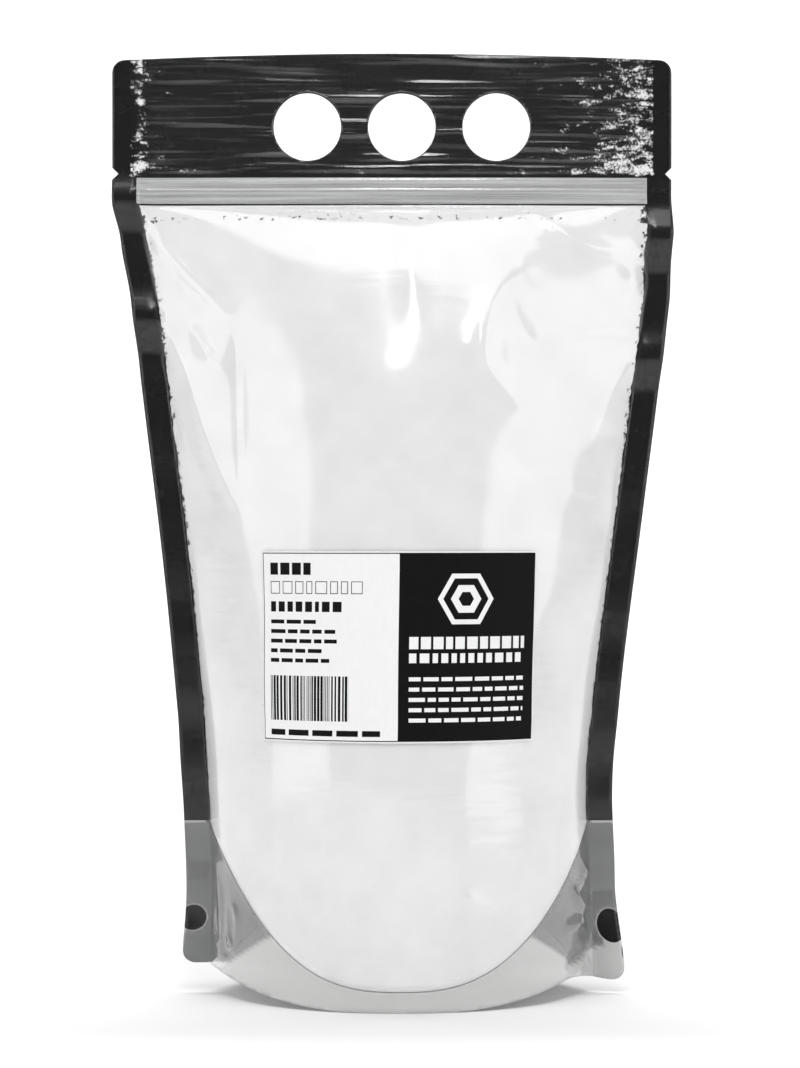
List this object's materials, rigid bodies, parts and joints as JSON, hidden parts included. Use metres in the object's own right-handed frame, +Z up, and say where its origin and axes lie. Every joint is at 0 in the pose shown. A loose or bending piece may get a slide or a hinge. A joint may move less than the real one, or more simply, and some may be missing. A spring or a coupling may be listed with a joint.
{
  "type": "chalk powder pouch",
  "caption": "Resealable stand-up pouch of loose chalk powder, with a clear front, a dark back, a press-close zip and finger holes in its header.",
  "frame": {"origin": "middle of the pouch's footprint, on the surface it stands on", "axes": "+X to the right seen from the front, +Y towards the dark back wall, +Z up towards the header"},
  "size_m": [0.22, 0.1128, 0.367],
  "materials": {
    "clear_film": "gloss",
    "black_film": "gloss",
    "milky_film": "gloss",
    "zip_plastic": "satin",
    "label_paper": "satin",
    "powder": "matte"
  },
  "bodies": {
    "pouch": {"front_film": "clear_film", "back_film": "black_film", "bottom_gusset": "milky_film", "chalk_powder": "powder", "label": "label_paper"},
    "front_header": {"front_flap": "clear_film", "zip_rib_strip": "zip_plastic"},
    "back_header": {"back_flap": "black_film", "zip_groove_strip": "zip_plastic"}
  },
  "joints": [
    {"name": "front_mouth", "type": "hinge", "parent": "pouch", "child": "front_header", "pos_m": [0, -0.0016, 0.308], "axis": [1, 0, 0], "range_deg": [0, 25], "stiffness_Nm_per_rad": 0.01, "springref_deg": -5.73},
    {"name": "back_mouth", "type": "hinge", "parent": "pouch", "child": "back_header", "pos_m": [0, 0.0016, 0.308], "axis": [-1, 0, 0], "range_deg": [0, 25], "stiffness_Nm_per_rad": 0.01, "springref_deg": -5.73}
  ]
}
